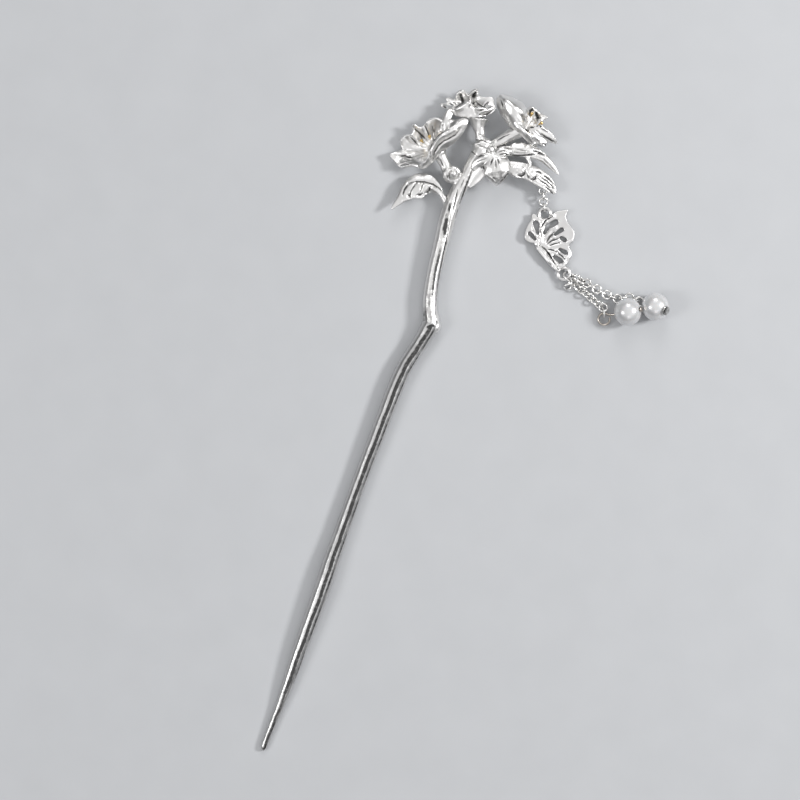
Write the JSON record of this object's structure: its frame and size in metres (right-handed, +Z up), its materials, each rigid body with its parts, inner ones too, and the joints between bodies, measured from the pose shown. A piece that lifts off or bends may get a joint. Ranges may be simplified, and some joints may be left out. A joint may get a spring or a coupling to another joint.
{
  "type": "buyao hairpin",
  "caption": "Silver-coloured cast hairpin lying flat: a bent pointed stick with trumpet flowers and leaves, a pierced butterfly drop on fine chain and two pearls.",
  "frame": {"origin": "the point of the stick, where its tip rests on the table", "axes": "+Y along the straight shaft from the tip towards the spray, +Z up from the table, +X to the side on which the butterfly and pearls lie"},
  "size_m": [0.0794, 0.175, 0.008],
  "materials": {
    "silver": "bright silver-coloured plating over a hand-finished casting",
    "gold": "bright gold-coloured plating",
    "pearl": "satin pearl lustre"
  },
  "bodies": {
    "root": {"cast_spray": "silver", "stamen_left_1": "gold", "stamen_left_2": "gold", "stamen_right_1": "gold", "stamen_right_2": "gold", "top_link_1": "silver", "top_link_2": "silver", "top_link_3": "silver", "butterfly": "silver", "jump_ring": "silver", "far_link_1": "silver", "far_link_2": "silver", "far_link_3": "silver", "far_link_4": "silver", "far_link_5": "silver", "far_link_6": "silver", "far_link_7": "silver", "far_link_8": "silver", "far_link_9": "silver", "far_link_10": "silver", "far_link_11": "silver", "far_link_12": "silver", "near_link_1": "silver", "near_link_2": "silver", "near_link_3": "silver", "near_link_4": "silver", "near_link_5": "silver", "near_link_6": "silver", "near_link_7": "silver", "near_link_8": "silver", "near_link_9": "silver", "spare_link_1": "silver", "spare_link_2": "silver", "head_pin_near": "silver", "head_pin_far": "silver", "pearl_near": "pearl", "pearl_far": "pearl"}
  },
  "joints": []
}
